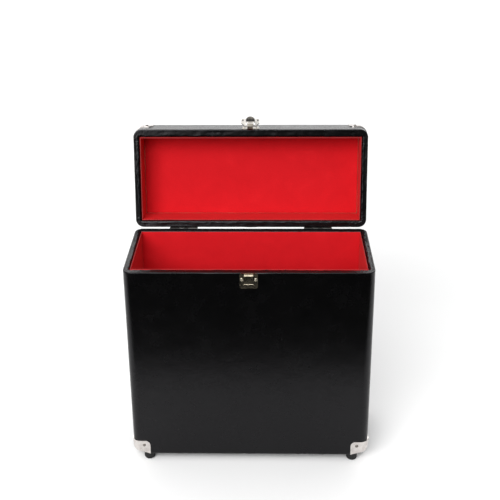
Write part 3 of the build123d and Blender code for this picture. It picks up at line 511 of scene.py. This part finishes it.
def skin(name, node, z_end, up, depth, put, body, seed):
    rows = shell_rows(z_end, up, depth)
    z_rim = z_end + up * depth
    verts = []
    for row in rows:
        for x, y, z, nx, ny, nv, kind, off, st in row:
            if kind != 9:
                d = 0.0
                calm = 1.0
                if kind <= 2:
                    # boards a little out of true, glue ripple, and the lap seam down the back
                    d += 0.12 * nz(x, y, z, 60, seed) + 0.05 * nz(x, y, z, 17, seed + 3)
                    if kind == 2 and ny > 0.99 and abs(x) < 9:
                        d += 0.38 * smooth((x + 8.5) / 2.4) * smooth((8.5 - x) / 1.0)
                    if kind == 0:
                        d -= 0.10
                near = math.exp(-(st[3] / 11.0) ** 2)
                s = x * ny - y * nx if kind in (3, 4, 5, 6) else 0.0
                if kind in (3, 4, 5, 6):
                    # high along the outer edge, pulled down and creased further in
                    inner = smooth((off - 0.8) / 3.0)
                    a = nz(x, y, seed * 10, 14, seed)
                    b = nz(x, y, seed * 10 + off * 1.4, 5.0, seed + 5)
                    c = 1 - abs(nz(x, y, off * 0.35, 3.2, seed + 11)) * 2.2
                    d -= 0.03 + 0.10 * a + inner * (0.16 + 0.26 * a + 0.20 * b + 0.20 * max(0.0, c) ** 3)
                if kind in (5, 6):
                    d += 0.25 * nz(x, y, z, 7, seed + 9) - 0.12
                    # gathered where the turn-in is tucked into the inside corners
                    d -= near * 0.30 * (0.5 + 0.5 * math.sin(st[3] * 1.9 + seed + 4 * nz(x, y, z, 9, seed)))
                if kind == 6:
                    d += 0.10 * nz(x, y, z, 4.0, seed + 2)
                if kind == 2:
                    top = abs(z_rim - z)
                    if top < 22:
                        f = 1 - top / 22
                        d += f * (0.13 * nz(x, y, z, 12, seed + 7) - 0.05)
                if kind in (3, 4, 5) and st[0] == "side":
                    # pleats where the turned-over hide was gathered beside the corners
                    for at, rise in PLEATS[(st[1], st[2] > 0.5)]:
                        away = st[3] - at
                        d += rise * smooth((off - 0.3) / 1.2) * (1.35 * math.exp(-(away / 0.6) ** 2) - 0.75 * math.exp(-(away / 1.7) ** 2))
                if kind in (3, 4, 5):
                    d = max(-0.68, min(0.02, d))
                x, y, z = x + nx * d, y + ny * d, z + nv * d
            verts.append((x, y, z))
    n, m = len(ST), len(rows)
    faces = []
    for i in range(m - 1):
        for j in range(n):
            a, b = i * n + j, i * n + (j + 1) % n
            faces.append((a, b, b + n, a + n))
    o = mesh_object(name, verts, faces, put, body, leatherette)
    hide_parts(node)
    return o


case_skin = skin("case_skin", "case_leatherette", Z0, 1, H, at_case, "case", 1.7)
case_skin.data.materials[0] = cover_hide
lid_skin = skin("lid_skin", "lid_leatherette", ZLT, -1, LH, at_lid, "lid", 5.3)


# ---------------------------------------------------------------- velour linings
# ---------------------------------------------------------------- dark rings filling the holes in the lever's wings
def at_lever(p):
    """Lever laid out undone: a quarter turn about its own pivot, on the lid."""
    py, pz = -D / 2 - 4.9, Z0 + H + 4.5
    return at_lid((p[0], py - (p[2] - pz), pz + (p[1] - py)))


def hole_rings():
    verts, faces, n = [], [], 32
    line = ((0.30, 8.30), (0.42, 8.62), (0.52, 8.86), (0.70, 8.98), (0.92, 8.98), (1.12, 8.88), (1.20, 8.71),
            (0.84, 8.70), (0.84, 7.70), (1.10, 7.69), (1.06, 7.52), (0.80, 7.42), (0.52, 7.46), (0.36, 7.70), (0.30, 8.00))
    for x in (-11.0, 11.0):
        base = len(verts)
        for r, o in line:
            for k in range(n):
                a = 2 * math.pi * k / n
                verts.append((x + r * math.cos(a), -D / 2 - o, Z0 + H + 13.3 + r * math.sin(a)))
        rows = len(line)
        for i in range(rows):
            for k in range(n):
                a, b = base + i * n, base + ((i + 1) % rows) * n
                faces.append((a + k, a + (k + 1) % n, b + (k + 1) % n, b + k))
    return mesh_object("lever_hole_rings", verts, faces, at_lever, "latch_lever", black_steel, sharp=50)


lever_hole_rings = hole_rings()


def axis_stations(h, r, step):
    inner = max(h - r, 0.0)
    n = max(1, int(round(2 * inner / step)))
    mids = [-inner + 2 * inner * k / n for k in range(n + 1)]
    outs = [inner + (h - inner) * math.tan(math.radians(a)) for a in (15, 30, 45)]
    return [-v for v in reversed(outs)] + mids + outs


def soft_slab(name, node, lo, hi, r, put, body, material, seed, amp=0.10, step=6.0, cut=None):
    c = [(a + b) / 2 for a, b in zip(lo, hi)]
    h = [(b - a) / 2 for a, b in zip(lo, hi)]
    r = min(r, min(h) * 0.98)
    ax = [axis_stations(v, r, step) for v in h]
    n = [len(a) for a in ax]
    index, verts, faces, flags = {}, [], [], []

    def vert(i, j, k):
        if (i, j, k) not in index:
            p = [ax[0][i], ax[1][j], ax[2][k]]
            q = [max(-(h[t] - r), min(h[t] - r, p[t])) for t in range(3)]
            v = Vector([p[t] - q[t] for t in range(3)])
            v.normalize()
            P = Vector([c[t] + q[t] for t in range(3)]) + v * r
            d = amp * (nz(P.x, P.y, P.z, 24, seed) + 0.5 * nz(P.x, P.y, P.z, 7, seed + 4)) - amp * 0.9
            verts.append(tuple(P + v * d))
            index[(i, j, k)] = len(verts) - 1
        return index[(i, j, k)]

    for t in range(3):
        u, w = [(1, 2), (2, 0), (0, 1)][t]
        for e in (0, n[t] - 1):
            for a in range(n[u] - 1):
                for b in range(n[w] - 1):
                    q = []
                    for aa, bb in ((a, b), (a + 1, b), (a + 1, b + 1), (a, b + 1)):
                        idx = [0, 0, 0]
                        idx[t], idx[u], idx[w] = e, aa, bb
                        q.append(vert(*idx))
                    faces.append(q if e else q[::-1])
                    flags.append(int(t == 2 and cut is not None and (e > 0) == (cut > 0)))
    o = mesh_object(name, verts, faces, put, body, material, second=cut_edge, flags=flags)
    if node:
        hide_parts(node)
    return o


XO, XN = W / 2 - LIPS[0] - GAP, W / 2 - LIPS[0] - GAP - LINING
YFO, YFN = -D / 2 + LIPS[1] + GAP, -D / 2 + LIPS[1] + GAP + LINING
YBO, YBN = D / 2 - LIPS[2] - GAP, D / 2 - LIPS[2] - GAP - LINING
ZI, ZT = Z0 + WALL, ZR - DROP
LB, LT = ZLR + DROP, ZLT - WALL
panels = [
    ("velour_floor", "lining_floor", (-XN + .2, YFN + .2, ZI), (XN - .2, YBN - .2, ZI + LINING), at_case, "case"),
    ("velour_front", "lining_front", (-XO, YFO, ZI), (XO, YFN, ZT), at_case, "case"),
    ("velour_back", "lining_back", (-XO, YBN, ZI), (XO, YBO, ZT), at_case, "case"),
    ("velour_left", "lining_left", (-XO, YFN, ZI), (-XN, YBN, ZT), at_case, "case"),
    ("velour_right", "lining_right", (XN, YFN, ZI), (XO, YBN, ZT), at_case, "case"),
    ("lid_velour_top", "lid_lining_top", (-XN + .2, YFN + .2, LT - LINING), (XN - .2, YBN - .2, LT), at_lid, "lid"),
    ("lid_velour_front", "lid_lining_front", (-XO, YFO, LB), (XO, YFN, LT), at_lid, "lid"),
    ("lid_velour_back", "lid_lining_back", (-XO, YBN, LB), (XO, YBO, LT), at_lid, "lid"),
    ("lid_velour_left", "lid_lining_left", (-XO, YFN, LB), (-XN, YBN, LT), at_lid, "lid"),
    ("lid_velour_right", "lid_lining_right", (XN, YFN, LB), (XO, YBN, LT), at_lid, "lid"),
]
for i, (nm, node, lo, hi, put, body) in enumerate(panels):
    cut = None if nm in ("velour_floor", "lid_velour_top") else (1 if body == "case" else -1)
    soft_slab(nm, node, lo, hi, 0.6, put, body, velour, i * 2.3, amp=0.07, cut=cut)


# ---------------------------------------------------------------- handle grip
def grip_path():
    hx, reach, bend = 62.0, 33.0, 15.0
    pts = []
    n = 14
    for i in range(5):
        pts.append(Vector((-hx, 12 + (reach - bend - 12) * i / 5, 0)))
    for i in range(n + 1):
        a = math.radians(180 - 90 * i / n)
        pts.append(Vector((-hx + bend + bend * math.cos(a), reach - bend + bend * math.sin(a), 0)))
    for i in range(1, 40):
        pts.append(Vector((-hx + bend + (2 * hx - 2 * bend) * i / 40, reach, 0)))
    right = [Vector((-p.x, p.y, 0)) for p in reversed(pts[:5 + n + 1])]
    return pts + right


def grip():
    path = grip_path()
    s = [0.0]
    for a, b in zip(path, path[1:]):
        s.append(s[-1] + (b - a).length)
    total = s[-1]
    ring_n = 40
    verts, faces, seam = [], [], []
    e = 2.5
    for i, p in enumerate(path):
        t = (path[min(i + 1, len(path) - 1)] - path[max(i - 1, 0)]).normalized()
        n = Vector((-t.y, t.x, 0))
        f = smooth(min(s[i], total - s[i]) / 34.0)
        tip = smooth(min(s[i], total - s[i]) / 2.2)
        swell = math.sin(math.pi * s[i] / total)
        a = (5.0 + 3.2 * f + 0.7 * swell) * (0.86 + 0.14 * tip)
        b = (4.9 + 1.4 * f + 0.6 * swell) * (0.86 + 0.14 * tip)
        for k in range(ring_n):
            w = 2 * math.pi * k / ring_n
            cu, cv = math.cos(w), math.sin(w)
            u = a * math.copysign(abs(cu) ** (2 / e), cu)
            v = b * math.copysign(abs(cv) ** (2 / e), cv)
            g = abs(u + (a - 2.4))
            dip = 0.35 * math.exp(-(g / 0.8) ** 2)
            q = p + n * u + Vector((0, 0, v - math.copysign(dip, v) if abs(v) > 1 else v))
            d = 0.16 * nz(q.x, q.y, q.z, 9, 2.2) + 0.10 * nz(q.x, q.y, q.z, 3.5, 6.1)
            m = (n * (u / a) + Vector((0, 0, v / b))).normalized()
            q = q + m * d
            verts.append((q.x, q.y, PZ + q.z))
        seam.append((p, n, t, a, b, s[i]))
    for i in range(len(path) - 1):
        for k in range(ring_n):
            a0, b0 = i * ring_n + k, i * ring_n + (k + 1) % ring_n
            faces.append((a0, b0, b0 + ring_n, a0 + ring_n))
    for end, i in ((1, 0), (-1, len(path) - 1)):
        base = i * ring_n
        p, n, t, a, b, _ = seam[i]
        c = len(verts)
        verts.append((p.x, p.y, PZ))
        for k in range(ring_n):
            faces.append((c, base + k, base + (k + 1) % ring_n))
    o = mesh_object("handle_sleeve", verts, faces, at_handle, "handle", grip_leather, True, 40)
    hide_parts("handle_grip")
    # stitches along the inside edge, on both faces
    sv, sf = [], []
    k0 = 4.0
    pos = k0
    while pos < total - k0:
        j = max(1, next((q for q in range(len(s)) if s[q] >= pos), len(s) - 1))
        f = (pos - s[j - 1]) / (s[j] - s[j - 1])
        p = seam[j - 1][0].lerp(seam[j][0], f)
        n = seam[j - 1][1].lerp(seam[j][1], f).normalized()
        t = seam[j - 1][2].lerp(seam[j][2], f).normalized()
        a = seam[j - 1][3] + (seam[j][3] - seam[j - 1][3]) * f
        b = seam[j - 1][4] + (seam[j][4] - seam[j - 1][4]) * f
        u = -(a - 2.4)
        v = b * (1 - abs(u / a) ** e) ** (1 / e) - 0.30
        for side in (1, -1):
            c = p + n * u + Vector((0, 0, side * v))
            base = len(sv)
            for q in range(7):
                w = math.pi * q / 6
                l, r = -1.25 * math.cos(w), 0.42 * math.sin(w) ** 0.7 + 0.01
                rise = 0.22 * math.sin(w)
                for h in range(8):
                    g = 2 * math.pi * h / 8
                    z = c + t * l + n * (r * math.cos(g)) + Vector((0, 0, side * (rise + r * 0.75 * math.sin(g))))
                    sv.append((z.x, z.y, PZ + z.z))
            for q in range(6):
                for h in range(8):
                    a0, b0 = base + q * 8 + h, base + q * 8 + (h + 1) % 8
                    sf.append((a0, b0, b0 + 8, a0 + 8))
            sf.append(tuple(base + h for h in range(8))[::-1])
            sf.append(tuple(base + 48 + h for h in range(8)))
        pos += 3.6
    mesh_object("handle_stitches", sv, sf, at_handle, "handle", thread)


grip()

# ---------------------------------------------------------------- stage
floor_me = bpy.data.meshes.new("floor")
R, FRONT = 9.0, -0.36
n = 24
fv = [(-R + 2 * R * i / n, FRONT + (R - FRONT) * j / n, 0.0) for j in range(n + 1) for i in range(n + 1)]
ff = [(j * (n + 1) + i, j * (n + 1) + i + 1, (j + 1) * (n + 1) + i + 1, (j + 1) * (n + 1) + i) for j in range(n) for i in range(n)]
floor_me.from_pydata(fv, [], ff)
floor = bpy.data.objects.new("floor", floor_me)
bpy.context.scene.collection.objects.link(floor)
m, nt, bs, tc = new_material("paper")
nn = noise_tex(nt, tc, 3.0, 3.0)
nt.links.new(ramp(nt, nn.outputs["Fac"], [(0.3, grey(0.90)), (0.7, grey(0.915))]), bs.inputs["Base Color"])
bs.inputs["Roughness"].default_value = 0.95
bs.inputs["Specular IOR Level"].default_value = 0.0
floor_me.materials.append(m)

SKY_LOW, SKY_HIGH, SKY_BACK = 0.02, 0.85, 1.15
scene = bpy.context.scene
scene.view_settings.view_transform = "Standard"
scene.view_settings.look = "None"
world = bpy.data.worlds.new("studio")
scene.world = world
world.use_nodes = True
wn = world.node_tree
wout = next(q for q in wn.nodes if q.type == "OUTPUT_WORLD")
bg = next(q for q in wn.nodes if q.type == "BACKGROUND")
wtc = wn.nodes.new("ShaderNodeTexCoord")
sep = wn.nodes.new("ShaderNodeSeparateXYZ")
wn.links.new(wtc.outputs["Generated"], sep.inputs[0])


def world_range(out, f0, f1, t0, t1):
    q = wn.nodes.new("ShaderNodeMapRange")
    q.interpolation_type = "SMOOTHSTEP"
    for k, v in (("From Min", f0), ("From Max", f1), ("To Min", t0), ("To Max", t1)):
        q.inputs[k].default_value = v
    wn.links.new(sep.outputs[out], q.inputs["Value"])
    return q.outputs["Result"]


# a lit tent overhead and behind, the room dark below the table's front edge
high = world_range("Z", 0.20, 0.75, SKY_LOW, SKY_HIGH)
back = world_range("Y", -0.10, 0.70, 0.0, SKY_BACK)
fade = world_range("Z", 0.12, 0.50, 1.0, 0.62)
fall = wn.nodes.new("ShaderNodeMath")
fall.operation = "MULTIPLY"
wn.links.new(back, fall.inputs[0])
wn.links.new(fade, fall.inputs[1])
back = fall.outputs[0]
add_ = wn.nodes.new("ShaderNodeMath")
add_.operation = "MAXIMUM"
wn.links.new(high, add_.inputs[0])
wn.links.new(back, add_.inputs[1])
wn.links.new(add_.outputs[0], bg.inputs["Color"])
bg.inputs["Strength"].default_value = 1.0
white = wn.nodes.new("ShaderNodeBackground")
white.inputs["Color"].default_value = (0.99, 0.99, 0.99, 1)
white.inputs["Strength"].default_value = 1.0
lp = wn.nodes.new("ShaderNodeLightPath")
mixs = wn.nodes.new("ShaderNodeMixShader")
wn.links.new(lp.outputs["Is Camera Ray"], mixs.inputs[0])
wn.links.new(bg.outputs[0], mixs.inputs[1])
wn.links.new(white.outputs[0], mixs.inputs[2])
wn.links.new(mixs.outputs[0], wout.inputs["Surface"])


def area(name, loc, target, size, power, color=(1, 1, 1)):
    l = bpy.data.lights.new(name, "AREA")
    l.shape = "RECTANGLE"
    l.size, l.size_y = size
    l.energy = power
    l.color = color
    o = bpy.data.objects.new(name, l)
    o.location = loc
    o.rotation_mode = "QUATERNION"
    o.rotation_quaternion = (Vector(target) - Vector(loc)).to_track_quat("-Z", "Y")
    scene.collection.objects.link(o)
    return o


area("key", (-0.86, -2.16, 1.88), (0, 0, 0.3), (2.3, 1.65), 79)
area("fill", (-1.15, -2.7, 0.62), (0, 0, 0.42), (1.3, 0.8), 11)
area("backdrop", (0.0, 4.2, 3.2), (0, 4.0, 0), (6.0, 3.0), 128)

# ---------------------------------------------------------------- camera
F, PPX, PPY = 944.43, 249.88, 205.0
TH, PS, RO = math.radians(22.64), math.radians(-1.38), math.radians(0.50)
f = Vector((math.sin(PS) * math.cos(TH), math.cos(PS) * math.cos(TH), -math.sin(TH)))
rt = Vector((math.cos(PS), -math.sin(PS), 0))
dn = f.cross(rt)
rt2 = rt * math.cos(RO) + dn * math.sin(RO)
dn2 = dn * math.cos(RO) - rt * math.sin(RO)
cam = bpy.data.cameras.new("camera")
cam.sensor_width = 36.0
cam.lens = F / 500 * 36.0
cam.shift_x = (250 - PPX) / 500
cam.shift_y = (PPY - 250) / 500
cam.clip_start, cam.clip_end = 0.05, 60
co = bpy.data.objects.new("camera", cam)
rot = Matrix((rt2, -dn2, -f)).transposed()
co.matrix_world = Matrix.Translation((0.03049, -1.23504 - OY / 1000, 0.90054)) @ rot.to_4x4()
scene.collection.objects.link(co)
scene.camera = co
